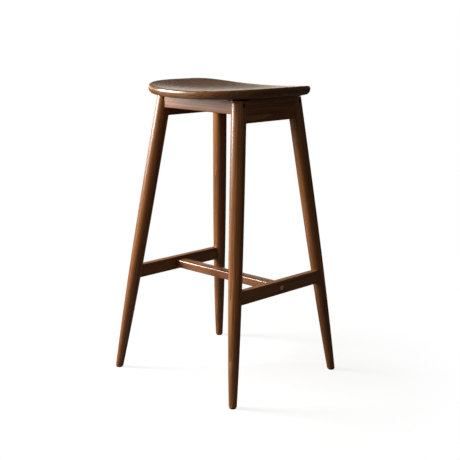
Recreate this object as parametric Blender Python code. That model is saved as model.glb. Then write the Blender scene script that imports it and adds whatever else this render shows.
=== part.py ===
"""Bar stool with a dished solid-wood seat and an H-shaped stretcher footrest.

Metres, +Z up. The origin is on the floor in the middle of the four feet, and the sitter faces -Y.
Two side frames (legs, side apron and side stretcher) are glued with mortise and tenon joints.
The front and back aprons and the footrest are drawn to them with bolts and barrel nuts.
"""

import math

import bmesh
import bpy
from mathutils import Matrix, Vector

# Overall size
SEAT_HEIGHT = 0.750
FOOT_X = 0.205
FOOT_Y = 0.192
TOP_X = 0.1265
TOP_Y = 0.1005
GAP = 0.0003

# Seat
SEAT_HALF_WIDTH = 0.192
SEAT_FRONT = 0.187
SEAT_BACK = 0.127
SEAT_FRONT_POWER = 2.42
SEAT_BACK_POWER = 5.2
SEAT_SIDE_RISE = 0.0095
SEAT_RIM = 0.0195
SEAT_RIM_GAIN = 0.0022
SEAT_DISH = 0.006
SEAT_DISH_POWER = 1.5
SEAT_TOP_SHARES = (0.12, 0.32, 0.52, 0.70, 0.85, 0.95, 1.0)
SEAT_UNDERSIDE = 0.7205
PAD_HALF_WIDTH = 0.152
PAD_FRONT = 0.150
PAD_BACK = 0.1195
PAD_SHARES = (1.0, 0.5)
RIM_BULGE = 0.0045
RIM_WIDEST = 0.007
RIM_UNDERCUT = 0.0085
RIM_UPPER_DEGREES = (35, 12)
RIM_LOWER_DEGREES = (0, 25, 50, 75)
SEAT_SEGMENTS = 56

# Legs
LEG_TOP_RADIUS = 0.0184
LEG_FOOT_RADIUS = 0.0098
LEG_TAPER_POWER = 3.2
LEG_SEGMENTS = 24
LEG_RINGS = 9
LEG_RING_POWER = 1.25
LEG_OVERRUN = 0.012
FOOT_CHAMFER = 0.0012

# Rails
APRON_THICKNESS = 0.020
APRON_PROUD = 0.0115
SIDE_APRON_BOTTOM = 0.6655
END_APRON_BOTTOM = 0.6870
STRETCHER_THICKNESS = 0.018
STRETCHER_PROUD = 0.012
STRETCHER_BOTTOM = 0.2415
STRETCHER_TOP = 0.2750
FOOTREST_HALF_WIDTH = 0.0155
FOOTREST_BOTTOM = 0.2465
FOOTREST_TOP = 0.2670
RAIL_ARRIS = 0.0015
FOOTREST_ARRIS = 0.0030

# Tenons of the side frames
TENON_THICKNESS = 0.008
TENON_PAST_AXIS = 0.006
TENON_ROOT = 0.034
APRON_TENON_Z = (0.6710, 0.6950)
STRETCHER_TENON_Z = (0.2490, 0.2680)

# Bolts, barrel nuts and dowels
BOLT_RADIUS = 0.003
BOLT_CLEARANCE = 0.0033
APRON_HEAD_RADIUS = 0.0048
FOOTREST_HEAD_RADIUS = 0.0060
BOLT_HEAD_HEIGHT = 0.0055
BOLT_SOCKET_APOTHEM = 0.0020
BOLT_SOCKET_DEPTH = 0.0030
BOLT_CHAMFER = 0.0006
COUNTERBORE_CLEARANCE = 0.0008
APRON_BOLT_Z = 0.7093
LEG_SEAT_FROM_AXIS = 0.004
STRETCHER_COUNTERBORE = 0.0060
FOOTREST_BOLT_Z = 0.2570
NUT_FROM_END = 0.030
BOLT_PAST_NUT = 0.007
NUT_RADIUS = 0.005
NUT_LENGTH = 0.0120
NUT_HOLE_RADIUS = 0.0053
HOLE_OVERRUN = 0.010
DOWEL_RADIUS = 0.003
DOWEL_HALF_LENGTH = 0.0125
APRON_DOWEL_DROP = 0.0125
FOOTREST_DOWEL_OFFSET = 0.0098
STRETCHER_DOWEL_DEPTH = 0.0100

# Seat screws
SCREW_Y = 0.052
SCREW_HEAD_Z = 0.6960
SCREW_TIP_Z = 0.7330
SCREW_HEAD_RADIUS = 0.0042
SCREW_HEAD_HEIGHT = 0.0026
SCREW_HEAD_CHAMFER = 0.0012
SCREW_RADIUS = 0.0021
SCREW_POINT = 0.0040
SCREW_TIP_RADIUS = 0.0004
SCREW_BORE_RADIUS = 0.0050

# Glides
GLIDE_RADIUS = 0.0082
GLIDE_THICKNESS = 0.0028
GLIDE_EDGE = 0.0006
NAIL_POINT_SHARE = 0.5
NAIL_RADIUS = 0.0010
NAIL_LENGTH = 0.0140
NAIL_HEAD_RADIUS = 0.0030
NAIL_HEAD_Z = (0.0010, 0.0020)

FINE = 24
COARSE = 12
FRAME_TOP = SEAT_UNDERSIDE - GAP
LEG_BOTTOM = GLIDE_THICKNESS + GAP
CORNERS = {
    "front_left": (-1, -1),
    "front_right": (1, -1),
    "back_left": (-1, 1),
    "back_right": (1, 1),
}
SIDES = {"left": -1, "right": 1}
ENDS = {"front": -1, "back": 1}


# Scene, materials and objects


def clear_scene():
    for obj in list(bpy.data.objects):
        bpy.data.objects.remove(obj, do_unlink=True)


def principled(name, colour, roughness, metallic=0.0):
    mat = bpy.data.materials.new(name)
    mat.use_nodes = True
    shader = mat.node_tree.nodes["Principled BSDF"]
    shader.inputs["Base Color"].default_value = (*colour, 1.0)
    shader.inputs["Roughness"].default_value = roughness
    shader.inputs["Metallic"].default_value = metallic
    return mat


def add_object(name, bm, mat):
    bmesh.ops.recalc_face_normals(bm, faces=bm.faces)
    mesh = bpy.data.meshes.new(name)
    bm.to_mesh(mesh)
    bm.free()
    obj = bpy.data.objects.new(name, mesh)
    bpy.context.scene.collection.objects.link(obj)
    if mat:
        mesh.materials.append(mat)
    return obj


def smooth(obj, angle=30):
    obj.data.shade_smooth()
    obj.data.set_sharp_from_angle(angle=math.radians(angle))
    return obj


def cutter(name, bm):
    obj = add_object(name, bm, None)
    obj.hide_render = True
    obj.display_type = "WIRE"
    return obj


def combine(obj, other, operation="DIFFERENCE"):
    modifier = obj.modifiers.new(f"{operation.lower()}_{other.name}", "BOOLEAN")
    modifier.operation = operation
    modifier.solver = "EXACT"
    modifier.object = other


# Basic solids


def skin(bm, rings, cap_start=True, cap_end=True):
    """Joins rings of points into a tube, and closes its ends with flat caps."""
    loops = [[bm.verts.new(point) for point in ring] for ring in rings]
    count = len(loops[0])
    for lower, upper in zip(loops, loops[1:]):
        for i in range(count):
            j = (i + 1) % count
            bm.faces.new((lower[i], lower[j], upper[j], upper[i]))
    if cap_start:
        bm.faces.new(loops[0][::-1])
    if cap_end:
        bm.faces.new(loops[-1])
    return loops


def circle(radius, height, segments):
    turns = [2 * math.pi * i / segments for i in range(segments)]
    return [Vector((radius * math.cos(turn), radius * math.sin(turn), height)) for turn in turns]


def turned(bm, start, direction, profile, segments):
    """Turns (distance, radius) pairs about an axis that leaves start along direction."""
    place = Matrix.Translation(start) @ Vector(direction).to_track_quat("Z", "Y").to_matrix().to_4x4()
    rings = [[place @ point for point in circle(radius, distance, segments)] for distance, radius in profile]
    skin(bm, rings)


def box(bm, low, high):
    corners = [(low[0], low[1]), (high[0], low[1]), (high[0], high[1]), (low[0], high[1])]
    skin(bm, [[Vector((x, y, z)) for x, y in corners] for z in (low[2], high[2])])


def mirrored(low, high, side):
    """The x limits of a piece drawn for the right side, on the side asked for."""
    return (low, high) if side > 0 else (-high, -low)


# Legs


def leg_axis(corner, z):
    """The point of a leg's axis at height z."""
    x_side, y_side = corner
    share = z / FRAME_TOP
    x = FOOT_X + (TOP_X - FOOT_X) * share
    y = FOOT_Y + (TOP_Y - FOOT_Y) * share
    return Vector((x_side * x, y_side * y, z))


def leg_radius(z):
    share = min(1.0, max(0.0, 1 - z / FRAME_TOP))
    return LEG_TOP_RADIUS - (LEG_TOP_RADIUS - LEG_FOOT_RADIUS) * share**LEG_TAPER_POWER


def turned_leg(bm, corner, extra):
    """The leg before its ends are cut: a taper that gets quicker towards the foot, grown by extra."""
    foot, top = leg_axis(corner, 0), leg_axis(corner, FRAME_TOP)
    length = (top - foot).length
    along = (top - foot).normalized()
    start = foot - along * LEG_OVERRUN
    total = length + 2 * LEG_OVERRUN
    profile = []
    for i in range(LEG_RINGS + 1):
        distance = total * (i / LEG_RINGS) ** LEG_RING_POWER
        z = (distance - LEG_OVERRUN) / length * FRAME_TOP
        profile.append((distance, leg_radius(z) + extra))
    turned(bm, start, along, profile, LEG_SEGMENTS)


def cut_level(bm, z, keep_above):
    """Cuts a closed solid flat at height z and closes the cut. Returns the cut's edges."""
    parts = bm.verts[:] + bm.edges[:] + bm.faces[:]
    made = bmesh.ops.bisect_plane(
        bm,
        geom=parts,
        plane_co=(0, 0, z),
        plane_no=(0, 0, 1),
        clear_inner=keep_above,
        clear_outer=not keep_above,
    )
    edges = [item for item in made["geom_cut"] if isinstance(item, bmesh.types.BMEdge)]
    bmesh.ops.edgeloop_fill(bm, edges=edges)
    return edges


def leg_cutters(name, corner):
    """What is cut from a leg: two mortises, and holes for the apron bolt, the dowel and the glide's nail."""
    x_side, y_side = corner
    wood = bmesh.new()
    for rail_x, z_range in ((apron_x(), APRON_TENON_Z), (stretcher_x(), STRETCHER_TENON_Z)):
        axis_y = abs(leg_axis(corner, sum(z_range) / 2).y)
        half = TENON_THICKNESS / 2 + GAP
        x_low, x_high = mirrored(rail_x - half, rail_x + half, x_side)
        y_ends = sorted((y_side * (axis_y - TENON_ROOT), y_side * (axis_y + TENON_PAST_AXIS + GAP)))
        box(wood, (x_low, y_ends[0], z_range[0] - GAP), (x_high, y_ends[1], z_range[1] + GAP))

    axis = leg_axis(corner, APRON_BOLT_Z)
    outwards = Vector((x_side, 0, 0))
    start = Vector((axis.x - x_side * 2 * LEG_TOP_RADIUS, y_side * apron_y(), APRON_BOLT_Z))
    seat = 2 * LEG_TOP_RADIUS + LEG_SEAT_FROM_AXIS
    counterbore = APRON_HEAD_RADIUS + COUNTERBORE_CLEARANCE
    profile = [(0, BOLT_CLEARANCE), (seat, BOLT_CLEARANCE), (seat, counterbore)]
    turned(wood, start, outwards, profile + [(4 * LEG_TOP_RADIUS, counterbore)], COARSE)

    dowel = apron_dowel_centre(corner)
    reach = DOWEL_HALF_LENGTH + GAP
    profile = [(-reach, DOWEL_RADIUS + GAP), (reach, DOWEL_RADIUS + GAP)]
    turned(wood, dowel, outwards, profile, COARSE)

    profile = [(-HOLE_OVERRUN, NAIL_RADIUS + GAP), (NAIL_LENGTH + GAP, NAIL_RADIUS + GAP)]
    turned(wood, leg_axis(corner, 0), (0, 0, 1), profile, COARSE)
    return cutter(f"cut_leg_{name}", wood)


def build_leg(name, corner, wood_mat):
    bm = bmesh.new()
    turned_leg(bm, corner, 0)
    cut_level(bm, FRAME_TOP, keep_above=False)
    foot_edges = cut_level(bm, LEG_BOTTOM, keep_above=True)
    bmesh.ops.bevel(bm, geom=foot_edges, offset=FOOT_CHAMFER, segments=1, affect="EDGES")
    leg = add_object(f"leg_{name}", bm, wood_mat)
    combine(leg, leg_cutters(name, corner))
    return smooth(leg)


def leg_clearance(name, corner):
    bm = bmesh.new()
    turned_leg(bm, corner, GAP)
    return cutter(f"clearance_{name}", bm)


# Where the rails lie


def apron_x():
    """Middle plane of the right side apron."""
    axis = leg_axis((1, 1), (SIDE_APRON_BOTTOM + FRAME_TOP) / 2).x
    return axis + APRON_PROUD - APRON_THICKNESS / 2


def apron_y():
    """Middle plane of the back apron."""
    axis = leg_axis((1, 1), (END_APRON_BOTTOM + FRAME_TOP) / 2).y
    return axis + APRON_PROUD - APRON_THICKNESS / 2


def stretcher_x():
    """Middle plane of the right side stretcher."""
    axis = leg_axis((1, 1), (STRETCHER_BOTTOM + STRETCHER_TOP) / 2).x
    return axis + STRETCHER_PROUD - STRETCHER_THICKNESS / 2


def footrest_end():
    return stretcher_x() - STRETCHER_THICKNESS / 2 - GAP


def apron_dowel_centre(corner):
    """The dowel sits across the joint between the leg's round side and the apron's end."""
    x_side, y_side = corner
    z = APRON_BOLT_Z - APRON_DOWEL_DROP
    return Vector((leg_axis(corner, z).x - x_side * leg_radius(z), y_side * apron_y(), z))


# Rails


def rail(name, low, high, arris, wood_mat):
    """A square rail with its long edges rounded. It runs along its longest side."""
    bm = bmesh.new()
    box(bm, low, high)
    size = Vector(high) - Vector(low)
    run = max(range(3), key=lambda axis: size[axis])
    long_edges = [e for e in bm.edges if abs((e.verts[0].co - e.verts[1].co)[run]) > size[run] / 2]
    bmesh.ops.bevel(bm, geom=long_edges, offset=arris, segments=2, profile=0.5, affect="EDGES")
    return add_object(name, bm, wood_mat)


def tenons(name, x, z_range, side):
    """The two tenons of a side rail. Their roots run into the rail."""
    bm = bmesh.new()
    half = TENON_THICKNESS / 2
    x_low, x_high = mirrored(x - half, x + half, side)
    axis_y = leg_axis((1, 1), sum(z_range) / 2).y
    for end in ENDS.values():
        y_ends = sorted((end * (axis_y - TENON_ROOT), end * (axis_y + TENON_PAST_AXIS)))
        box(bm, (x_low, y_ends[0], z_range[0]), (x_high, y_ends[1], z_range[1]))
    return cutter(f"tenons_{name}", bm)


def side_rail(name, side, x, thickness, z_limits, tenon_z, legs, wood_mat):
    """A rail between a front leg and a back leg, scribed to their round sides and tenoned into them."""
    x_low, x_high = mirrored(x - thickness / 2, x + thickness / 2, side)
    y_end = leg_axis((1, 1), sum(z_limits) / 2).y
    low = (x_low, -y_end, z_limits[0])
    high = (x_high, y_end, z_limits[1])
    obj = rail(name, low, high, RAIL_ARRIS, wood_mat)
    for corner_name, corner in CORNERS.items():
        if corner[0] == side:
            combine(obj, legs[corner_name])
    combine(obj, tenons(name, x, tenon_z, side), "UNION")
    return obj


def build_side_apron(name, side, legs, wood_mat):
    z_limits = (SIDE_APRON_BOTTOM, FRAME_TOP)
    x = apron_x()
    obj = side_rail(f"apron_{name}", side, x, APRON_THICKNESS, z_limits, APRON_TENON_Z, legs, wood_mat)
    bm = bmesh.new()
    head_z = SCREW_HEAD_Z - SIDE_APRON_BOTTOM
    above = FRAME_TOP - SIDE_APRON_BOTTOM
    profile = [(-HOLE_OVERRUN, SCREW_BORE_RADIUS), (head_z, SCREW_BORE_RADIUS)]
    profile += [(head_z, SCREW_RADIUS + GAP), (above + HOLE_OVERRUN, SCREW_RADIUS + GAP)]
    for end in ENDS.values():
        turned(bm, (side * x, end * SCREW_Y, SIDE_APRON_BOTTOM), (0, 0, 1), profile, COARSE)
    combine(obj, cutter(f"screw_holes_{name}", bm))
    return obj


def build_side_stretcher(name, side, legs, wood_mat):
    z_limits = (STRETCHER_BOTTOM, STRETCHER_TOP)
    x = stretcher_x()
    thick = STRETCHER_THICKNESS
    obj = side_rail(f"side_stretcher_{name}", side, x, thick, z_limits, STRETCHER_TENON_Z, legs, wood_mat)
    bm = bmesh.new()
    outwards = Vector((side, 0, 0))
    inner = x - thick / 2
    shoulder = thick - STRETCHER_COUNTERBORE
    start = Vector((side * inner, 0, FOOTREST_BOLT_Z))
    counterbore = FOOTREST_HEAD_RADIUS + COUNTERBORE_CLEARANCE
    profile = [(-HOLE_OVERRUN, BOLT_CLEARANCE), (shoulder, BOLT_CLEARANCE), (shoulder, counterbore)]
    turned(bm, start, outwards, profile + [(thick + HOLE_OVERRUN, counterbore)], FINE)
    hole = DOWEL_RADIUS + GAP
    for offset in (-FOOTREST_DOWEL_OFFSET, FOOTREST_DOWEL_OFFSET):
        mouth = start + Vector((0, offset, 0))
        turned(bm, mouth, outwards, [(-HOLE_OVERRUN, hole), (STRETCHER_DOWEL_DEPTH, hole)], COARSE)
    combine(obj, cutter(f"footrest_holes_{name}", bm))
    return obj


def rail_end_holes(name, rail_end, y, z, dowels):
    """Bolt hole and dowel holes in both ends of a rail that runs along X, as one cutter."""
    bm = bmesh.new()
    depth = NUT_FROM_END + BOLT_PAST_NUT + 2 * GAP
    for side in SIDES.values():
        inwards = Vector((-side, 0, 0))
        mouth = Vector((side * rail_end, y, z))
        turned(bm, mouth, inwards, [(-2 * HOLE_OVERRUN, BOLT_CLEARANCE), (depth, BOLT_CLEARANCE)], COARSE)
        for offset_y, offset_z, reach in dowels:
            start = mouth + Vector((0, offset_y, offset_z))
            profile = [(-2 * HOLE_OVERRUN, DOWEL_RADIUS + GAP), (reach, DOWEL_RADIUS + GAP)]
            turned(bm, start, inwards, profile, COARSE)
    return cutter(f"end_holes_{name}", bm)


def nut_hole(bm, crossing, inwards, face_distance):
    """A blind hole for a barrel nut. It crosses the bolt's hole and stops just past the nut."""
    depth = NUT_LENGTH / 2 + GAP
    profile = [(-face_distance - HOLE_OVERRUN, NUT_HOLE_RADIUS), (depth, NUT_HOLE_RADIUS)]
    turned(bm, crossing, inwards, profile, COARSE)


def apron_end(end):
    """Where the middle of an end apron's end meets the round side of the leg."""
    axis = leg_axis((1, end), APRON_BOLT_Z)
    across = axis.y - end * apron_y()
    return axis.x - math.sqrt(leg_radius(APRON_BOLT_Z) ** 2 - across**2)


def build_end_apron(name, end, legs, wood_mat):
    """The front or back apron. It butts against the legs and is held by bolts and barrel nuts."""
    y = end * apron_y()
    half = APRON_THICKNESS / 2
    x_end = leg_axis((1, 1), (END_APRON_BOTTOM + FRAME_TOP) / 2).x
    low = (-x_end, y - half, END_APRON_BOTTOM)
    high = (x_end, y + half, FRAME_TOP)
    obj = rail(f"apron_{name}", low, high, RAIL_ARRIS, wood_mat)
    for corner_name, corner in CORNERS.items():
        if corner[1] == end:
            combine(obj, legs[corner_name])
    x_face = apron_end(end)
    dowel = (0, -APRON_DOWEL_DROP, DOWEL_HALF_LENGTH + GAP)
    combine(obj, rail_end_holes(f"apron_{name}", x_face, y, APRON_BOLT_Z, [dowel]))
    bm = bmesh.new()
    for side in SIDES.values():
        crossing = Vector((side * (x_face - NUT_FROM_END), y, APRON_BOLT_Z))
        nut_hole(bm, crossing, (0, end, 0), half)
    combine(obj, cutter(f"nut_holes_apron_{name}", bm))
    return obj


def build_footrest(wood_mat):
    """The centre stretcher, where the feet rest. It butts against the side stretchers."""
    x_end = footrest_end()
    low = (-x_end, -FOOTREST_HALF_WIDTH, FOOTREST_BOTTOM)
    high = (x_end, FOOTREST_HALF_WIDTH, FOOTREST_TOP)
    obj = rail("footrest", low, high, FOOTREST_ARRIS, wood_mat)
    reach = 2 * DOWEL_HALF_LENGTH - STRETCHER_DOWEL_DEPTH + 3 * GAP
    dowels = [(offset, 0, reach) for offset in (-FOOTREST_DOWEL_OFFSET, FOOTREST_DOWEL_OFFSET)]
    combine(obj, rail_end_holes("footrest", x_end, 0, FOOTREST_BOLT_Z, dowels))
    bm = bmesh.new()
    for side in SIDES.values():
        crossing = Vector((side * (x_end - NUT_FROM_END), 0, FOOTREST_BOLT_Z))
        nut_hole(bm, crossing, (0, 0, 1), FOOTREST_BOLT_Z - FOOTREST_BOTTOM)
    combine(obj, cutter("nut_holes_footrest", bm))
    return obj


# Seat


def seat_outline(half_width, front, back):
    """A closed outline: a broad round front, and a straighter back with tighter corners."""
    points = []
    for i in range(SEAT_SEGMENTS):
        turn = 2 * math.pi * i / SEAT_SEGMENTS
        across, along = math.cos(turn), math.sin(turn)
        power, depth = (SEAT_FRONT_POWER, front) if along < 0 else (SEAT_BACK_POWER, back)
        x = math.copysign(abs(across) ** (2 / power), across) * half_width
        y = math.copysign(abs(along) ** (2 / power), along) * depth
        points.append((x, y))
    return points


def seat_ring(inset):
    return seat_outline(SEAT_HALF_WIDTH - inset, SEAT_FRONT - inset, SEAT_BACK - inset)


def side_share(x):
    """0 on the seat's middle line and 1 at its left and right ends."""
    return min(1.0, (x / (SEAT_HALF_WIDTH - RIM_BULGE)) ** 2)


def crease_height(x):
    """Height of the rim's upper edge, which climbs to the left and right."""
    return SEAT_HEIGHT - SEAT_SIDE_RISE + SEAT_SIDE_RISE * side_share(x)


def rim_thickness(x):
    """The rim is a little thicker at the seat's ends than at its front."""
    return SEAT_RIM + SEAT_RIM_GAIN * side_share(x)


def seat_top_rings():
    """The sitting surface, from near its middle out to the rim's crease."""
    middle_y = (SEAT_BACK - SEAT_FRONT) / 2
    rings = []
    for share in SEAT_TOP_SHARES:
        ring = []
        for x, y in seat_ring(RIM_BULGE):
            px, py = x * share, middle_y + (y - middle_y) * share
            dish = SEAT_DISH * (1 - share**2) ** SEAT_DISH_POWER
            ring.append(Vector((px, py, crease_height(px) - dish)))
        rings.append(ring)
    return rings


def seat_rim_rings():
    """The rim: a convex upper part down to its widest line, and a larger round-over below it."""
    rings = []
    for degrees in RIM_UPPER_DEGREES:
        angle = math.radians(degrees)
        inset = RIM_BULGE * (1 - math.cos(angle))
        drop = RIM_WIDEST * (1 - math.sin(angle))
        rings.append([Vector((x, y, crease_height(x) - drop)) for x, y in seat_ring(inset)])
    for degrees in RIM_LOWER_DEGREES:
        angle = math.radians(degrees)
        inset = RIM_UNDERCUT * (1 - math.cos(angle))
        ring = []
        for x, y in seat_ring(inset):
            drop = RIM_WIDEST + (rim_thickness(x) - RIM_WIDEST) * math.sin(angle)
            ring.append(Vector((x, y, crease_height(x) - drop)))
        rings.append(ring)
    return rings


def seat_underside_rings():
    """The flat pad that sits on the frame. The underside climbs from it to the thinner rim."""
    rings = []
    for share in PAD_SHARES:
        pad = seat_outline(PAD_HALF_WIDTH * share, PAD_FRONT * share, PAD_BACK * share)
        rings.append([Vector((x, y, SEAT_UNDERSIDE)) for x, y in pad])
    return rings


def build_seat(wood_mat):
    bm = bmesh.new()
    rings = seat_top_rings() + seat_rim_rings() + seat_underside_rings()
    loops = skin(bm, rings, cap_start=False)
    middle = bm.verts.new((0, (SEAT_BACK - SEAT_FRONT) / 2, crease_height(0) - SEAT_DISH))
    first = loops[0]
    for i, vert in enumerate(first):
        bm.faces.new((middle, vert, first[(i + 1) % len(first)]))
    seat = add_object("seat", bm, wood_mat)
    holes = bmesh.new()
    for side in SIDES.values():
        for end in ENDS.values():
            mouth = (side * apron_x(), end * SCREW_Y, SEAT_UNDERSIDE)
            depth = SCREW_TIP_Z - SEAT_UNDERSIDE + GAP
            profile = [(-HOLE_OVERRUN, SCREW_RADIUS + GAP), (depth, SCREW_RADIUS + GAP)]
            turned(holes, mouth, (0, 0, 1), profile, COARSE)
    combine(seat, cutter("cut_seat", holes))
    return smooth(seat, 22)


# Hardware


def hexagon_ring(distance, segments):
    """A hexagon drawn with the same number of points as a circle."""
    sector = math.pi / 3
    points = []
    for i in range(segments):
        turn = 2 * math.pi * i / segments
        radius = BOLT_SOCKET_APOTHEM / math.cos(turn % sector - sector / 2)
        points.append(Vector((radius * math.cos(turn), radius * math.sin(turn), distance)))
    return points


def build_bolt(name, head_seat, inwards, shank, head_radius, metal):
    """A socket head bolt. Distances run inwards from the face that the head bears on."""
    top = -BOLT_HEAD_HEIGHT
    rings = [hexagon_ring(top + BOLT_SOCKET_DEPTH, COARSE), hexagon_ring(top, COARSE)]
    outer = [
        (top, head_radius - BOLT_CHAMFER),
        (top + BOLT_CHAMFER, head_radius),
        (0, head_radius),
        (0, BOLT_RADIUS),
        (shank - BOLT_CHAMFER, BOLT_RADIUS),
        (shank, BOLT_RADIUS - BOLT_CHAMFER),
    ]
    rings += [circle(radius, distance, COARSE) for distance, radius in outer]
    bm = bmesh.new()
    skin(bm, rings)
    turn = Vector(inwards).to_track_quat("Z", "Y").to_matrix().to_4x4()
    bm.transform(Matrix.Translation(head_seat) @ turn)
    return smooth(add_object(name, bm, metal))


def build_nut(name, centre, along, bolt_axis, metal):
    """A barrel nut: a short round bar with a cross hole for the bolt."""
    half = NUT_LENGTH / 2
    bm = bmesh.new()
    turned(bm, centre - along * half, along, [(0, NUT_RADIUS), (NUT_LENGTH, NUT_RADIUS)], COARSE)
    nut = add_object(name, bm, metal)
    hole = bmesh.new()
    reach = 2 * NUT_RADIUS
    profile = [(0, BOLT_RADIUS + GAP), (2 * reach, BOLT_RADIUS + GAP)]
    turned(hole, centre - bolt_axis * reach, bolt_axis, profile, COARSE)
    combine(nut, cutter(f"cut_{name}", hole))
    return smooth(nut)


def build_dowel(name, centre, wood_mat):
    half = DOWEL_HALF_LENGTH
    edge = BOLT_CHAMFER
    profile = [(-half, DOWEL_RADIUS - edge), (edge - half, DOWEL_RADIUS)]
    profile += [(half - edge, DOWEL_RADIUS), (half, DOWEL_RADIUS - edge)]
    bm = bmesh.new()
    turned(bm, centre, (1, 0, 0), profile, COARSE)
    return smooth(add_object(name, bm, wood_mat))


def build_apron_fixings(name, corner, steel, zinc, beech):
    """Bolt, barrel nut and dowel that hold one end of the front or back apron."""
    x_side, y_side = corner
    y = y_side * apron_y()
    axis = leg_axis(corner, APRON_BOLT_Z)
    head_seat = Vector((axis.x + x_side * (LEG_SEAT_FROM_AXIS + GAP), y, APRON_BOLT_Z))
    nut_x = x_side * (apron_end(y_side) - NUT_FROM_END)
    shank = abs(head_seat.x - nut_x) + BOLT_PAST_NUT
    build_bolt(f"apron_bolt_{name}", head_seat, (-x_side, 0, 0), shank, APRON_HEAD_RADIUS, steel)
    centre = Vector((nut_x, y, APRON_BOLT_Z))
    build_nut(f"apron_nut_{name}", centre, Vector((0, y_side, 0)), Vector((x_side, 0, 0)), zinc)
    build_dowel(f"apron_dowel_{name}", apron_dowel_centre(corner), beech)


def build_footrest_fixings(name, side, steel, zinc, beech):
    """Bolt, barrel nut and two dowels that hold one end of the footrest."""
    outer_face = stretcher_x() + STRETCHER_THICKNESS / 2
    seat_x = outer_face - STRETCHER_COUNTERBORE + GAP
    nut_x = footrest_end() - NUT_FROM_END
    head_seat = Vector((side * seat_x, 0, FOOTREST_BOLT_Z))
    shank = seat_x - nut_x + BOLT_PAST_NUT
    build_bolt(f"footrest_bolt_{name}", head_seat, (-side, 0, 0), shank, FOOTREST_HEAD_RADIUS, steel)
    centre = Vector((side * nut_x, 0, FOOTREST_BOLT_Z))
    build_nut(f"footrest_nut_{name}", centre, Vector((0, 0, 1)), Vector((side, 0, 0)), zinc)
    dowel_tip = stretcher_x() - STRETCHER_THICKNESS / 2 + STRETCHER_DOWEL_DEPTH - GAP
    dowel_x = dowel_tip - DOWEL_HALF_LENGTH
    for end_name, end in ENDS.items():
        centre = Vector((side * dowel_x, end * FOOTREST_DOWEL_OFFSET, FOOTREST_BOLT_Z))
        build_dowel(f"footrest_dowel_{name}_{end_name}", centre, beech)


def build_seat_screw(name, corner, metal):
    x_side, y_side = corner
    length = SCREW_TIP_Z - SCREW_HEAD_Z
    profile = [
        (-SCREW_HEAD_HEIGHT, SCREW_HEAD_RADIUS - SCREW_HEAD_CHAMFER),
        (SCREW_HEAD_CHAMFER - SCREW_HEAD_HEIGHT, SCREW_HEAD_RADIUS),
        (-GAP, SCREW_HEAD_RADIUS),
        (-GAP, SCREW_RADIUS),
        (length - SCREW_POINT, SCREW_RADIUS),
        (length, SCREW_TIP_RADIUS),
    ]
    bm = bmesh.new()
    turned(bm, (x_side * apron_x(), y_side * SCREW_Y, SCREW_HEAD_Z), (0, 0, 1), profile, COARSE)
    return smooth(add_object(f"seat_screw_{name}", bm, metal))


def build_glide(name, corner, plastic, metal):
    """A floor glide moulded round the head of its nail."""
    centre = leg_axis(corner, 0)
    bm = bmesh.new()
    profile = [
        (0, GLIDE_RADIUS - GLIDE_EDGE),
        (GLIDE_EDGE, GLIDE_RADIUS),
        (GLIDE_THICKNESS - GLIDE_EDGE, GLIDE_RADIUS),
        (GLIDE_THICKNESS, GLIDE_RADIUS - GLIDE_EDGE),
    ]
    turned(bm, centre, (0, 0, 1), profile, FINE)
    glide = add_object(f"glide_{name}", bm, plastic)
    pocket = bmesh.new()
    shank = NAIL_RADIUS + GAP
    head = NAIL_HEAD_RADIUS + GAP
    hollow = [(NAIL_HEAD_Z[0] - GAP, head), (NAIL_HEAD_Z[1] + GAP, head)]
    hollow += [(NAIL_HEAD_Z[1] + GAP, shank), (GLIDE_THICKNESS + HOLE_OVERRUN, shank)]
    turned(pocket, centre, (0, 0, 1), hollow, COARSE)
    combine(glide, cutter(f"cut_glide_{name}", pocket))
    smooth(glide)
    nail = bmesh.new()
    shape = [(NAIL_HEAD_Z[0], NAIL_HEAD_RADIUS), (NAIL_HEAD_Z[1], NAIL_HEAD_RADIUS)]
    shape += [(NAIL_HEAD_Z[1], NAIL_RADIUS), (NAIL_LENGTH, NAIL_RADIUS * NAIL_POINT_SHARE)]
    turned(nail, centre, (0, 0, 1), shape, COARSE)
    smooth(add_object(f"glide_nail_{name}", nail, metal))


def main():
    clear_scene()
    walnut = principled("walnut", (0.16, 0.065, 0.028), 0.35)
    beech = principled("beech", (0.62, 0.44, 0.27), 0.6)
    bronze = principled("bronzed_steel", (0.22, 0.13, 0.085), 0.35, 0.9)
    zinc = principled("zinc_steel", (0.62, 0.62, 0.60), 0.35, 1.0)
    plastic = principled("black_plastic", (0.015, 0.015, 0.015), 0.5)

    clearances = {name: leg_clearance(name, corner) for name, corner in CORNERS.items()}
    build_seat(walnut)
    for name, corner in CORNERS.items():
        build_leg(name, corner, walnut)
        build_apron_fixings(name, corner, bronze, zinc, beech)
        build_seat_screw(name, corner, zinc)
        build_glide(name, corner, plastic, zinc)
    for name, side in SIDES.items():
        build_side_apron(name, side, clearances, walnut)
        build_side_stretcher(name, side, clearances, walnut)
        build_footrest_fixings(name, side, bronze, zinc, beech)
    for name, end in ENDS.items():
        build_end_apron(name, end, clearances, walnut)
    build_footrest(walnut)


main()
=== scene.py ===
"""Looks for the bar stool: finer pieces, materials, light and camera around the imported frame."""

import math

import bmesh
import bpy
from mathutils import Matrix, Vector


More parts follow.
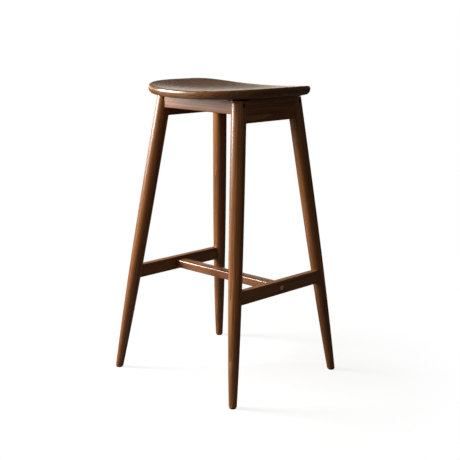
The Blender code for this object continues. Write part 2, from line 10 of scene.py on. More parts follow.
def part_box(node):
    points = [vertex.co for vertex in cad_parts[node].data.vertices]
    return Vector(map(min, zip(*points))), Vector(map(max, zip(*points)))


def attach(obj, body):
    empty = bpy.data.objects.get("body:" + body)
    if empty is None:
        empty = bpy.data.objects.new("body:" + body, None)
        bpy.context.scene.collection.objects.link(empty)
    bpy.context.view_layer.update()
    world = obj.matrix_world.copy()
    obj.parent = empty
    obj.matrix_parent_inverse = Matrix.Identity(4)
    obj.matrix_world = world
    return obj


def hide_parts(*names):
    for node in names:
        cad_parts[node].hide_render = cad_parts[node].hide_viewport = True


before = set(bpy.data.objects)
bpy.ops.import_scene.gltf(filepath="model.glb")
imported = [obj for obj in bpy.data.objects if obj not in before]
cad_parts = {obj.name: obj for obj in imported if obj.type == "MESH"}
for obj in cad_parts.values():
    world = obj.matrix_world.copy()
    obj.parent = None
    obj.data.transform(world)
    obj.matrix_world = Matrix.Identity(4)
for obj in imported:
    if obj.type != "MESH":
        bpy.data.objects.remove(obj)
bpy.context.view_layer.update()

# Design dimensions, as in the CAD, in metres
GAP = 0.0003
FOOT_X, FOOT_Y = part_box("glide_back_right")[0].lerp(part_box("glide_back_right")[1], 0.5).xy
TOP_X, TOP_Y = 0.1265, 0.1005
SEAT_LOW, SEAT_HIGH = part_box("seat")
SEAT_HEIGHT = SEAT_HIGH.z
SEAT_HALF_WIDTH = SEAT_HIGH.x
SEAT_FRONT = -SEAT_LOW.y
SEAT_BACK = SEAT_HIGH.y
SEAT_UNDERSIDE = SEAT_LOW.z
SEAT_FRONT_POWER = 2.42
SEAT_BACK_POWER = 5.2
SEAT_SIDE_RISE = 0.0095
SEAT_RIM = 0.0195
SEAT_RIM_GAIN = 0.0022
SEAT_DISH = 0.006
SEAT_DISH_POWER = 1.5
PAD_HALF_WIDTH, PAD_FRONT, PAD_BACK = 0.152, 0.150, 0.1195
RIM_BULGE, RIM_WIDEST, RIM_UNDERCUT = 0.0045, 0.007, 0.0085
LEG_TOP_RADIUS, LEG_FOOT_RADIUS, LEG_TAPER_POWER = 0.0184, 0.0098, 3.2
LEG_OVERRUN, FOOT_CHAMFER = 0.012, 0.0012
APRON_THICKNESS, APRON_PROUD = 0.020, 0.0115
STRETCHER_THICKNESS = 0.018
TENON_THICKNESS, TENON_PAST_AXIS, TENON_ROOT = 0.008, 0.006, 0.034
APRON_TENON_Z, STRETCHER_TENON_Z = (0.6710, 0.6950), (0.2490, 0.2680)
BOLT_RADIUS, BOLT_CLEARANCE = 0.003, 0.0033
APRON_HEAD_RADIUS, FOOTREST_HEAD_RADIUS, BOLT_HEAD_HEIGHT = 0.0048, 0.0060, 0.0055
BOLT_SOCKET_APOTHEM, BOLT_SOCKET_DEPTH, BOLT_CHAMFER = 0.0020, 0.0030, 0.0006
COUNTERBORE_CLEARANCE, STRETCHER_COUNTERBORE, LEG_SEAT_FROM_AXIS = 0.0008, 0.0060, 0.004
NUT_FROM_END, NUT_LENGTH, NUT_HOLE_RADIUS, BOLT_PAST_NUT = 0.030, 0.012, 0.0053, 0.007
DOWEL_RADIUS, DOWEL_HALF_LENGTH, APRON_DOWEL_DROP = 0.003, 0.0125, 0.0125
FOOTREST_DOWEL_OFFSET, STRETCHER_DOWEL_DEPTH = 0.0098, 0.0100
SCREW_Y, SCREW_HEAD_Z, SCREW_TIP_Z = 0.052, 0.6960, 0.7330
SCREW_RADIUS, SCREW_BORE_RADIUS = 0.0021, 0.0050
GLIDE_RADIUS, GLIDE_THICKNESS = 0.0082, 0.0028
NAIL_RADIUS, NAIL_LENGTH, NAIL_HEAD_RADIUS, NAIL_HEAD_Z = 0.0010, 0.0140, 0.0030, (0.0010, 0.0020)
RAIL_ARRIS, FOOTREST_ARRIS = 0.0015, 0.0030

# How far a cutter runs past the face that it opens
OVERRUN = 0.010

# Small roundings, where the CAD has a chamfer or a sharp edge
GLIDE_EDGE, LEG_TOP_ARRIS = 0.0009, 0.0005
SOCKET_FLARE, SOCKET_FLARE_DEPTH = 1.1, 0.0002

# How finely each piece is drawn
SEAT_SEGMENTS, SEAT_TOP_RINGS, PAD_SHARES = 224, 26, (1.0, 0.66, 0.33)
RIM_UPPER_DEGREES = (55, 45, 36, 27, 18, 9, 0)
RIM_LOWER_DEGREES = (8, 16, 24, 32, 40, 48, 56, 64, 72, 79, 85)
LEG_SEGMENTS, LEG_RINGS, LEG_RING_POWER = 96, 40, 1.25
ROUND = 48
ARRIS_STEPS, FOOT_STEPS, LEG_TOP_STEPS = 6, 4, 2
BOLT_EDGE_STEPS, GLIDE_EDGE_STEPS = 4, 6
SHARP_DEGREES, SEAT_SHARP_DEGREES, HARDWARE_SHARP_DEGREES = 28, 20, 25

# Where things lie
FRAME_TOP = SEAT_UNDERSIDE - GAP
LEG_BOTTOM = GLIDE_THICKNESS + GAP
APRON_BOLT_Z = (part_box("apron_bolt_back_right")[0].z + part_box("apron_bolt_back_right")[1].z) / 2
FOOTREST_BOLT_Z = (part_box("footrest_bolt_right")[0].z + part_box("footrest_bolt_right")[1].z) / 2
SIDE_APRON_BOTTOM = 0.6655
END_APRON_BOTTOM = 0.6870
CORNERS = {"front_left": (-1, -1), "front_right": (1, -1), "back_left": (-1, 1), "back_right": (1, 1)}
SIDES = {"left": -1, "right": 1}
ENDS = {"front": -1, "back": 1}

# Wood. Tones run from dark to light. A cut is the figure's seed and its distance from the pith.
WALNUT_TONES = (
    (0.036, 0.0100, 0.0023),
    (0.108, 0.0350, 0.0088),
    (0.195, 0.070, 0.0182),
    (0.330, 0.138, 0.042),
)
SEAT_TONES = (
    (0.026, 0.0095, 0.0025),
    (0.066, 0.024, 0.0066),
    (0.112, 0.044, 0.0128),
    (0.185, 0.080, 0.027),
)
TONE_STOPS = (0.36, 0.56, 0.76, 0.96)
SEAT_CUT = (3.1, (0.0, 0.11))
LEG_CUT = (1.0, (0.045, 0.060))
SIDE_APRON_CUT = (6.3, (0.055, 0.040))
STRETCHER_CUT = (8.7, (0.040, 0.070))
END_APRON_CUT = (11.2, (0.060, 0.050))
FOOTREST_CUT = (14.6, (0.030, 0.050))
SEED_SHIFT = (0.37, 0.11, 0.73)
RING_SPACING, SEAT_RING_SPACING, SEAT_BOARD = 0.0034, 0.0042, 0.078
WAVES_PER_UNIT, RING_ALONG = 20, 0.03
RING_WAVE = {"Distortion": 2.2, "Detail": 2.0, "Detail Scale": 0.6, "Detail Roughness": 0.6}
SWAY_SCALE, SWAY_REACH = (9, 9, 2.2), 0.016
PORE_STOPS, WEAR_STOPS = [(0.60, 0.0), (0.70, 1.0)], [(0.35, 0.25), (0.65, 1.0)]
RING_SHARE, FIBRE_SHARE, STREAK_SHARE, CLOUD_SHARE, BOARD_SHARE = 0.22, 0.46, 0.46, 0.30, 0.16
PORE_SHARE, PORE_DARKENING, WEAR_SHARE, WEAR_RADIUS = 0.60, 0.35, 0.30, 0.0016
WOOD_ROUGHNESS, SEAT_ROUGHNESS, FOOTREST_ROUGHNESS = 0.33, 0.26, 0.29
FIBRE_ROUGHNESS, PORE_ROUGHNESS, WEAR_ROUGHNESS = 0.12, 0.12, 0.08
FIBRE_HEIGHT, PORE_HEIGHT, STREAK_HEIGHT = 0.35, 0.8, 0.5
COAT, FOOTREST_COAT, COAT_ROUGHNESS, LACQUER_IOR = 0.10, 0.75, 0.18, 1.45
WOOD_BUMP = {"Strength": 0.35, "Distance": 0.00012}

# Noises: scale along each axis, detail and roughness
FIBRE = ((620, 620, 9), 4.0, 0.65)
STREAK = ((120, 120, 3.2), 3.0, 0.6)
CLOUD = ((11, 11, 3.0), 2.0, 0.5)
PORES = ((2100, 2100, 95), 2.0, 0.5)
BEECH_FIBRE = ((30, 900, 900), 3.0, 0.6)
BEECH_FLECKS = ((260, 1500, 1500), 1.0, 0.5)
BLOTCH = ((420, 420, 420), 4.0, 0.6)
SCRATCH = ((5200, 5200, 260), 2.0, 0.5)
GRIT = ((3600, 3600, 3600), 3.0, 0.6)
SCUFF = ((300, 300, 900), 4.0, 0.7)

# Dowels, metal and plastic
BEECH_STOPS = [(0.3, (0.40, 0.25, 0.13)), (0.7, (0.66, 0.47, 0.29))]
BEECH_FLECK, BEECH_FLECK_STOPS, BEECH_FLECK_SHARE = (0.30, 0.17, 0.08, 1.0), [(0.58, 0.0), (0.68, 1.0)], 0.4
BEECH_ROUGHNESS, BEECH_FIBRE_ROUGHNESS, BEECH_BUMP = 0.5, 0.2, {"Strength": 0.4, "Distance": 0.0001}
BRONZE_DARK, BRONZE_LIGHT = (0.82, 0.42, 0.23), (0.95, 0.56, 0.34)
BRONZE_ROUGHNESS, BRONZE_METALLIC = 0.42, 0.20
ZINC_DARK, ZINC_LIGHT = (0.42, 0.42, 0.40), (0.68, 0.68, 0.66)
ZINC_ROUGHNESS, ZINC_METALLIC = 0.34, 1.0
METAL_WEAR_RADIUS, METAL_WEAR_SHARE, METAL_WEAR_GAIN = 0.0004, 0.5, 1.6
BLOTCH_STOPS, BLOTCH_ROUGHNESS, SCRATCH_ROUGHNESS = (0.30, 0.72), 0.2, 0.12
METAL_BUMP = {"Strength": 0.25, "Distance": 0.00005}
PLASTIC_STOPS = [(0.4, (0.010, 0.010, 0.010)), (0.75, (0.035, 0.033, 0.031))]
PLASTIC_WORN, PLASTIC_WEAR_RADIUS, PLASTIC_WEAR_SHARE = (0.08, 0.075, 0.07, 1.0), 0.0006, 0.4
PLASTIC_ROUGHNESS, SCUFF_ROUGHNESS, PLASTIC_BUMP = 0.38, 0.25, {"Strength": 0.3, "Distance": 0.00005}
EDGE_SAMPLES, EDGE_GAIN = 4, 5.0

# Camera. Its yaw, pitch and roll are in degrees.
SENSOR_WIDTH, LENS = 36.0, 78.59
CAMERA_PLACE, CAMERA_TURN = (1.7247, -1.8495, 0.9215), (42.83, 12.22, 0.79)

# Lights: name, watts, size, azimuth and elevation in degrees, distance, target, colour, seen in reflections
SEAT_AIM, FRAME_AIM = (0, 0, 0.7), (0, 0, 0.42)
LIGHTS = (
    ("key", 108, (0.7, 1.0), -53, 15, 1.9, SEAT_AIM, (1.0, 0.98, 0.96), True),
    ("front", 22, (1.2, 1.0), -18, 20, 1.9, SEAT_AIM, (1.0, 0.93, 0.82), False),
    ("top", 5, (1.8, 1.8), -60, 75, 2.4, FRAME_AIM, (1, 1, 1), False),
    ("fill", 5, (1.6, 1.6), 80, 20, 3.0, FRAME_AIM, (1, 1, 1), False),
)

# Floor and room
WHITE = (1, 1, 1, 1)
FLOOR_RADIUS, FLOOR_SEGMENTS, FLOOR_ROUGHNESS, FLOOR_SPECULAR = 14.0, 96, 0.9, 0.1
FLOOR_SEEN, FLOOR_BOUNCE = (0.90, 0.90, 0.90, 1.0), (0.10, 0.10, 0.10, 1.0)
FLOOR_FADE_REACH, FLOOR_FADE_SHARE = (0.15, 0.70), (0.80, 1.0)
GLOW_TOWARD, GLOW_SPREAD, GLOW_HEIGHT = (-0.90, 0.43, 0.0), (0.60, 0.95), (0.05, 0.17)
ROOM_DIM, ROOM_GLOW = (0.075, 0.070, 0.064, 1), (2.8, 2.6, 2.2, 1)


# Meshes


def add_object(name, bm):
    bmesh.ops.recalc_face_normals(bm, faces=bm.faces)
    mesh = bpy.data.meshes.new(name)
    bm.to_mesh(mesh)
    bm.free()
    obj = bpy.data.objects.new(name, mesh)
    bpy.context.scene.collection.objects.link(obj)
    return obj


def combine(obj, bm, operation="DIFFERENCE"):
    """Cuts bm's solids from obj, or joins them to it, and leaves a plain mesh."""
    other = add_object(f"tool_{obj.name}", bm)
    modifier = obj.modifiers.new("boolean", "BOOLEAN")
    modifier.operation = operation
    modifier.solver = "EXACT"
    modifier.object = other
    bpy.context.view_layer.update()
    graph = bpy.context.evaluated_depsgraph_get()
    made = bpy.data.meshes.new_from_object(obj.evaluated_get(graph))
    obj.modifiers.remove(modifier)
    obj.data = made
    bpy.data.objects.remove(other)


def finish_piece(obj, node, material, axes, angle=SHARP_DEGREES):
    """Shades the piece, gives it the axes asked for and puts it in its CAD node's place."""
    obj.data.transform(axes.inverted())
    obj.matrix_world = axes
    obj.data.materials.clear()
    obj.data.materials.append(material)
    obj.data.shade_smooth()
    obj.data.set_sharp_from_angle(angle=math.radians(angle))
    obj.data.name = obj.name
    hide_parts(node)
    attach(obj, "root")


def grain_axes(origin, along):
    """A frame whose Z runs along the grain."""
    return Matrix.Translation(origin) @ Vector(along).to_track_quat("Z", "Y").to_matrix().to_4x4()


def skin(bm, rings, cap_start=True):
    """Joins rings of points into a tube with flat caps. Without cap_start, its start stays open."""
    loops = [[bm.verts.new(point) for point in ring] for ring in rings]
    count = len(loops[0])
    for lower, upper in zip(loops, loops[1:]):
        for i in range(count):
            j = (i + 1) % count
            bm.faces.new((lower[i], lower[j], upper[j], upper[i]))
    if cap_start:
        bm.faces.new(loops[0][::-1])
    bm.faces.new(loops[-1])
    return loops


def circle(radius, height, segments):
    turns = [2 * math.pi * i / segments for i in range(segments)]
    return [Vector((radius * math.cos(turn), radius * math.sin(turn), height)) for turn in turns]


def turned(bm, start, direction, profile, segments=ROUND):
    """Turns (distance, radius) pairs about an axis that leaves start along direction."""
    place = Matrix.Translation(start) @ Vector(direction).to_track_quat("Z", "Y").to_matrix().to_4x4()
    rings = [[place @ point for point in circle(radius, distance, segments)] for distance, radius in profile]
    skin(bm, rings)


def box(bm, low, high):
    corners = [(low[0], low[1]), (high[0], low[1]), (high[0], high[1]), (low[0], high[1])]
    skin(bm, [[Vector((x, y, z)) for x, y in corners] for z in (low[2], high[2])])


def mirrored(low, high, side):
    """The x limits of a piece drawn for the right side, on the side asked for."""
    return (low, high) if side > 0 else (-high, -low)


def round_edges(bm, edges, reach, steps):
    """Rounds the edges. The round starts at this reach from each edge."""
    bmesh.ops.bevel(bm, geom=edges, offset=reach, segments=steps, profile=0.5, affect="EDGES")


# Legs


def leg_axis(corner, z):
    """The point of a leg's axis at height z."""
    share = z / FRAME_TOP
    x = FOOT_X + (TOP_X - FOOT_X) * share
    y = FOOT_Y + (TOP_Y - FOOT_Y) * share
    return Vector((corner[0] * x, corner[1] * y, z))


def leg_radius(z):
    share = min(1.0, max(0.0, 1 - z / FRAME_TOP))
    return LEG_TOP_RADIUS - (LEG_TOP_RADIUS - LEG_FOOT_RADIUS) * share**LEG_TAPER_POWER


def turned_leg(bm, corner, extra):
    """The leg before its ends are cut: a taper that gets quicker towards the foot, grown by extra."""
    foot, top = leg_axis(corner, 0), leg_axis(corner, FRAME_TOP)
    length = (top - foot).length
    along = (top - foot).normalized()
    total = length + 2 * LEG_OVERRUN
    profile = []
    for i in range(LEG_RINGS + 1):
        distance = total * (i / LEG_RINGS) ** LEG_RING_POWER
        profile.append((distance, leg_radius((distance - LEG_OVERRUN) / length * FRAME_TOP) + extra))
    turned(bm, foot - along * LEG_OVERRUN, along, profile, LEG_SEGMENTS)


def cut_level(bm, z, keep_above):
    """Cuts a closed solid flat at height z and closes the cut. Returns the cut's edges."""
    made = bmesh.ops.bisect_plane(
        bm,
        geom=bm.verts[:] + bm.edges[:] + bm.faces[:],
        plane_co=(0, 0, z),
        plane_no=(0, 0, 1),
        clear_inner=keep_above,
        clear_outer=not keep_above,
    )
    edges = [item for item in made["geom_cut"] if isinstance(item, bmesh.types.BMEdge)]
    bmesh.ops.edgeloop_fill(bm, edges=edges)
    return edges


def leg_cuts(corner):
    """Mortises, bolt hole, dowel hole and nail hole of a leg."""
    x_side, y_side = corner
    bm = bmesh.new()
    for rail_x, z_range in ((apron_x(), APRON_TENON_Z), (stretcher_x(), STRETCHER_TENON_Z)):
        axis_y = abs(leg_axis(corner, sum(z_range) / 2).y)
        half = TENON_THICKNESS / 2 + GAP
        x_low, x_high = mirrored(rail_x - half, rail_x + half, x_side)
        y_ends = sorted((y_side * (axis_y - TENON_ROOT), y_side * (axis_y + TENON_PAST_AXIS + GAP)))
        box(bm, (x_low, y_ends[0], z_range[0] - GAP), (x_high, y_ends[1], z_range[1] + GAP))
    axis = leg_axis(corner, APRON_BOLT_Z)
    outwards = Vector((x_side, 0, 0))
    start = Vector((axis.x - x_side * 2 * LEG_TOP_RADIUS, y_side * apron_y(), APRON_BOLT_Z))
    seat = 2 * LEG_TOP_RADIUS + LEG_SEAT_FROM_AXIS
    counterbore = APRON_HEAD_RADIUS + COUNTERBORE_CLEARANCE
    profile = [(0, BOLT_CLEARANCE), (seat, BOLT_CLEARANCE), (seat, counterbore)]
    turned(bm, start, outwards, profile + [(4 * LEG_TOP_RADIUS, counterbore)])
    reach, hole = DOWEL_HALF_LENGTH + GAP, DOWEL_RADIUS + GAP
    turned(bm, apron_dowel_centre(corner), outwards, [(-reach, hole), (reach, hole)])
    hole = NAIL_RADIUS + GAP
    turned(bm, leg_axis(corner, 0), (0, 0, 1), [(-OVERRUN, hole), (NAIL_LENGTH + GAP, hole)])
    return bm


def leg_grain(corner):
    """The turn that brings a leg's own axis onto Z."""
    along = leg_axis(corner, 1) - leg_axis(corner, 0)
    return grain_axes((0, 0, 0), along).to_3x3().inverted().to_euler()


def build_leg(name, corner, material):
    """The leg keeps upright axes of its own, and its material turns with the grain."""
    bm = bmesh.new()
    turned_leg(bm, corner, 0)
    top_edges = cut_level(bm, FRAME_TOP, keep_above=False)
    foot_edges = cut_level(bm, LEG_BOTTOM, keep_above=True)
    round_edges(bm, foot_edges, FOOT_CHAMFER, FOOT_STEPS)
    round_edges(bm, top_edges, LEG_TOP_ARRIS, LEG_TOP_STEPS)
    obj = add_object(f"leg_{name}_turned", bm)
    combine(obj, leg_cuts(corner))
    finish_piece(obj, f"leg_{name}", material, Matrix.Translation(leg_axis(corner, 0)))


# Where the rails lie


def apron_x():
    """Middle plane of the right side apron."""
    return leg_axis((1, 1), (SIDE_APRON_BOTTOM + FRAME_TOP) / 2).x + APRON_PROUD - APRON_THICKNESS / 2


def apron_y():
    """Middle plane of the back apron."""
    return leg_axis((1, 1), (END_APRON_BOTTOM + FRAME_TOP) / 2).y + APRON_PROUD - APRON_THICKNESS / 2


def stretcher_x():
    """Middle plane of the right side stretcher."""
    low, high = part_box("side_stretcher_right")
    return (low.x + high.x) / 2


def footrest_end():
    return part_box("footrest")[1].x


def apron_dowel_centre(corner):
    """The dowel sits across the joint between the leg's round side and the apron's end."""
    z = APRON_BOLT_Z - APRON_DOWEL_DROP
    x = leg_axis(corner, z).x - corner[0] * leg_radius(z)
    return Vector((x, corner[1] * apron_y(), z))


# Rails


def rail(name, low, high, arris):
    """A straight rail with its long edges rounded. It runs along its longest side."""
    bm = bmesh.new()
    box(bm, low, high)
    size = Vector(high) - Vector(low)
    run = max(range(3), key=lambda axis: size[axis])
    long_edges = [e for e in bm.edges if abs((e.verts[0].co - e.verts[1].co)[run]) > size[run] / 2]
    round_edges(bm, long_edges, arris, ARRIS_STEPS)
    return add_object(name, bm)


def scribe(obj, corners):
    """Cuts a rail's ends to the round sides of the legs."""
    bm = bmesh.new()
    for corner in corners:
        turned_leg(bm, corner, GAP)
    combine(obj, bm)


def join_tenons(obj, x, z_range, side):
    bm = bmesh.new()
    half = TENON_THICKNESS / 2
    x_low, x_high = mirrored(x - half, x + half, side)
    axis_y = leg_axis((1, 1), sum(z_range) / 2).y
    for end in ENDS.values():
        y_ends = sorted((end * (axis_y - TENON_ROOT), end * (axis_y + TENON_PAST_AXIS)))
        box(bm, (x_low, y_ends[0], z_range[0]), (x_high, y_ends[1], z_range[1]))
    combine(obj, bm, "UNION")


def side_rail(name, side, x, thickness, z_limits, tenon_z):
    x_low, x_high = mirrored(x - thickness / 2, x + thickness / 2, side)
    y_end = leg_axis((1, 1), sum(z_limits) / 2).y
    obj = rail(name, (x_low, -y_end, z_limits[0]), (x_high, y_end, z_limits[1]), RAIL_ARRIS)
    scribe(obj, [corner for corner in CORNERS.values() if corner[0] == side])
    join_tenons(obj, x, tenon_z, side)
    return obj


def build_side_apron(name, side, material):
    x = apron_x()
    z_limits = (SIDE_APRON_BOTTOM, FRAME_TOP)
    obj = side_rail(f"apron_{name}_rail", side, x, APRON_THICKNESS, z_limits, APRON_TENON_Z)
    bm = bmesh.new()
    head_z = SCREW_HEAD_Z - SIDE_APRON_BOTTOM
    above = FRAME_TOP - SIDE_APRON_BOTTOM + OVERRUN
    profile = [(-OVERRUN, SCREW_BORE_RADIUS), (head_z, SCREW_BORE_RADIUS)]
    profile += [(head_z, SCREW_RADIUS + GAP), (above, SCREW_RADIUS + GAP)]
    for end in ENDS.values():
        turned(bm, (side * x, end * SCREW_Y, SIDE_APRON_BOTTOM), (0, 0, 1), profile)
    combine(obj, bm)
    axes = grain_axes((side * x, 0, FRAME_TOP), (0, 1, 0))
    finish_piece(obj, f"apron_{name}", material, axes)


def build_side_stretcher(name, side, material):
    low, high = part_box(f"side_stretcher_{name}")
    x = stretcher_x()
    obj = side_rail(
        f"side_stretcher_{name}_rail", side, x, STRETCHER_THICKNESS, (low.z, high.z), STRETCHER_TENON_Z
    )
    bm = bmesh.new()
    outwards = Vector((side, 0, 0))
    shoulder = STRETCHER_THICKNESS - STRETCHER_COUNTERBORE
    start = Vector((side * (x - STRETCHER_THICKNESS / 2), 0, FOOTREST_BOLT_Z))
    counterbore = FOOTREST_HEAD_RADIUS + COUNTERBORE_CLEARANCE
    profile = [(-OVERRUN, BOLT_CLEARANCE), (shoulder, BOLT_CLEARANCE), (shoulder, counterbore)]
    turned(bm, start, outwards, profile + [(STRETCHER_THICKNESS + OVERRUN, counterbore)])
    hole = DOWEL_RADIUS + GAP
    for offset in (-FOOTREST_DOWEL_OFFSET, FOOTREST_DOWEL_OFFSET):
        mouth = start + Vector((0, offset, 0))
        turned(bm, mouth, outwards, [(-OVERRUN, hole), (STRETCHER_DOWEL_DEPTH, hole)])
    combine(obj, bm)
    axes = grain_axes((side * x, 0, low.z), (0, 1, 0))
    finish_piece(obj, f"side_stretcher_{name}", material, axes)


def cut_rail_ends(obj, rail_end, y, z, dowels):
    bm = bmesh.new()
    depth = NUT_FROM_END + BOLT_PAST_NUT + 2 * GAP
    for side in SIDES.values():
        inwards = Vector((-side, 0, 0))
        mouth = Vector((side * rail_end, y, z))
        turned(bm, mouth, inwards, [(-2 * OVERRUN, BOLT_CLEARANCE), (depth, BOLT_CLEARANCE)])
        for offset_y, offset_z, reach in dowels:
            start = mouth + Vector((0, offset_y, offset_z))
            turned(bm, start, inwards, [(-2 * OVERRUN, DOWEL_RADIUS + GAP), (reach, DOWEL_RADIUS + GAP)])
    combine(obj, bm)


def cut_nut_holes(obj, x, y, z, inwards, face_distance):
    bm = bmesh.new()
    profile = [(-face_distance - OVERRUN, NUT_HOLE_RADIUS), (NUT_LENGTH / 2 + GAP, NUT_HOLE_RADIUS)]
    for side in SIDES.values():
        turned(bm, Vector((side * x, y, z)), inwards, profile)
    combine(obj, bm)


def apron_end(end):
    """Where the middle of an end apron's end meets the round side of the leg."""
    axis = leg_axis((1, end), APRON_BOLT_Z)
    across = axis.y - end * apron_y()
    return axis.x - math.sqrt(leg_radius(APRON_BOLT_Z) ** 2 - across**2)


def build_end_apron(name, end, material):
    y = end * apron_y()
    half = APRON_THICKNESS / 2
    x_end = leg_axis((1, 1), (END_APRON_BOTTOM + FRAME_TOP) / 2).x
    low, high = (-x_end, y - half, END_APRON_BOTTOM), (x_end, y + half, FRAME_TOP)
    obj = rail(f"apron_{name}_rail", low, high, RAIL_ARRIS)
    scribe(obj, [corner for corner in CORNERS.values() if corner[1] == end])
    x_face = apron_end(end)
    cut_rail_ends(obj, x_face, y, APRON_BOLT_Z, [(0, -APRON_DOWEL_DROP, DOWEL_HALF_LENGTH + GAP)])
    cut_nut_holes(obj, x_face - NUT_FROM_END, y, APRON_BOLT_Z, (0, end, 0), half)
    finish_piece(obj, f"apron_{name}", material, grain_axes((0, y, FRAME_TOP), (1, 0, 0)))


def build_footrest(material):
    low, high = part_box("footrest")
    obj = rail("footrest_rail", low, high, FOOTREST_ARRIS)
    x_end = footrest_end()
    reach = 2 * DOWEL_HALF_LENGTH - STRETCHER_DOWEL_DEPTH + 3 * GAP
    dowels = [(offset, 0, reach) for offset in (-FOOTREST_DOWEL_OFFSET, FOOTREST_DOWEL_OFFSET)]
    cut_rail_ends(obj, x_end, 0, FOOTREST_BOLT_Z, dowels)
    cut_nut_holes(obj, x_end - NUT_FROM_END, 0, FOOTREST_BOLT_Z, (0, 0, 1), FOOTREST_BOLT_Z - low.z)
    finish_piece(obj, "footrest", material, grain_axes((0, 0, low.z), (1, 0, 0)))


# Seat


def seat_outline(half_width, front, back):
    """A closed outline: a broad round front, and a straighter back with tighter corners."""
    points = []
    for i in range(SEAT_SEGMENTS):
        turn = 2 * math.pi * i / SEAT_SEGMENTS
        across, along = math.cos(turn), math.sin(turn)
        power, depth = (SEAT_FRONT_POWER, front) if along < 0 else (SEAT_BACK_POWER, back)
        x = math.copysign(abs(across) ** (2 / power), across) * half_width
        y = math.copysign(abs(along) ** (2 / power), along) * depth
        points.append((x, y))
    return points


def seat_ring(inset):
    return seat_outline(SEAT_HALF_WIDTH - inset, SEAT_FRONT - inset, SEAT_BACK - inset)


def side_share(x):
    """0 on the seat's middle line and 1 at its left and right ends."""
    return min(1.0, (x / (SEAT_HALF_WIDTH - RIM_BULGE)) ** 2)


def crease_height(x):
    """Height of the rim's upper edge, which climbs to the left and right."""
    return SEAT_HEIGHT - SEAT_SIDE_RISE + SEAT_SIDE_RISE * side_share(x)


def rim_thickness(x):
    return SEAT_RIM + SEAT_RIM_GAIN * side_share(x)


def seat_top_rings():
    middle_y = (SEAT_BACK - SEAT_FRONT) / 2
    rings = []
    for step in range(1, SEAT_TOP_RINGS + 1):
        share = math.sin(math.pi / 2 * step / SEAT_TOP_RINGS)
        ring = []
        for x, y in seat_ring(RIM_BULGE):
            px, py = x * share, middle_y + (y - middle_y) * share
            dish = SEAT_DISH * (1 - share**2) ** SEAT_DISH_POWER
            ring.append(Vector((px, py, crease_height(px) - dish)))
        rings.append(ring)
    return rings


def seat_rim_rings():
    rings = []
    for degrees in RIM_UPPER_DEGREES:
        angle = math.radians(degrees)
        inset = RIM_BULGE * (1 - math.cos(angle))
        drop = RIM_WIDEST * (1 - math.sin(angle))
        rings.append([Vector((x, y, crease_height(x) - drop)) for x, y in seat_ring(inset)])
    for degrees in RIM_LOWER_DEGREES:
        angle = math.radians(degrees)
        inset = RIM_UNDERCUT * (1 - math.cos(angle))
        ring = []
        for x, y in seat_ring(inset):
            drop = RIM_WIDEST + (rim_thickness(x) - RIM_WIDEST) * math.sin(angle)
            ring.append(Vector((x, y, crease_height(x) - drop)))
        rings.append(ring)
    return rings


def seat_underside_rings():
    rings = []
    for share in PAD_SHARES:
        pad = seat_outline(PAD_HALF_WIDTH * share, PAD_FRONT * share, PAD_BACK * share)
        rings.append([Vector((x, y, SEAT_UNDERSIDE)) for x, y in pad])
    return rings


def build_seat(material):
    bm = bmesh.new()
    loops = skin(bm, seat_top_rings() + seat_rim_rings() + seat_underside_rings(), cap_start=False)
    middle = bm.verts.new((0, (SEAT_BACK - SEAT_FRONT) / 2, crease_height(0) - SEAT_DISH))
    first = loops[0]
    for i, vert in enumerate(first):
        bm.faces.new((middle, vert, first[(i + 1) % len(first)]))
    obj = add_object("seat_board", bm)
    holes = bmesh.new()
    depth = SCREW_TIP_Z - SEAT_UNDERSIDE + GAP
    for side in SIDES.values():
        for end in ENDS.values():
            mouth = (side * apron_x(), end * SCREW_Y, SEAT_UNDERSIDE)
            turned(holes, mouth, (0, 0, 1), [(-OVERRUN, SCREW_RADIUS + GAP), (depth, SCREW_RADIUS + GAP)])
    combine(obj, holes)
    axes = grain_axes((0, 0, SEAT_HEIGHT), (1, 0, 0))
    finish_piece(obj, "seat", material, axes, SEAT_SHARP_DEGREES)


# Hardware


def hexagon_ring(distance):
    """A hexagon drawn with the same number of points as a circle."""
    sector = math.pi / 3
    points = []
    for i in range(ROUND):
        turn = 2 * math.pi * i / ROUND
        radius = BOLT_SOCKET_APOTHEM / math.cos(turn % sector - sector / 2)
        points.append(Vector((radius * math.cos(turn), radius * math.sin(turn), distance)))
    return points


def build_bolt(node, head_radius, material):
    """A socket head bolt in its CAD node's place. Its head has a rolled edge and a broached hexagon."""
    low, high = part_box(node)
    side = 1 if low.x + high.x > 0 else -1
    centre = (low + high) / 2
    head_x = high.x if side > 0 else low.x
    length = high.x - low.x
    head_seat = Vector((head_x - side * BOLT_HEAD_HEIGHT, centre.y, centre.z))
    shank = length - BOLT_HEAD_HEIGHT
    top = -BOLT_HEAD_HEIGHT
    rings = [hexagon_ring(top + depth) for depth in (BOLT_SOCKET_DEPTH, SOCKET_FLARE_DEPTH)]
    rings.append([Vector((p.x * SOCKET_FLARE, p.y * SOCKET_FLARE, top)) for p in hexagon_ring(top)])
    outer = []
    for step in range(BOLT_EDGE_STEPS + 1):
        angle = math.pi / 2 * step / BOLT_EDGE_STEPS
        distance = top + BOLT_CHAMFER * (1 - math.sin(angle))
        outer.append((distance, head_radius - BOLT_CHAMFER * (1 - math.cos(angle))))
    outer.reverse()
    outer += [(0, head_radius), (0, BOLT_RADIUS), (shank - BOLT_CHAMFER, BOLT_RADIUS)]
    outer.append((shank, BOLT_RADIUS - BOLT_CHAMFER))
    rings += [circle(radius, distance, ROUND) for distance, radius in outer]
    bm = bmesh.new()
    skin(bm, rings)
    turn = Vector((-side, 0, 0)).to_track_quat("Z", "Y").to_matrix().to_4x4()
    bm.transform(Matrix.Translation(head_seat) @ turn)
    obj = add_object(f"{node}_fine", bm)
    axes = grain_axes(head_seat, (-side, 0, 0))
    finish_piece(obj, node, material, axes, HARDWARE_SHARP_DEGREES)


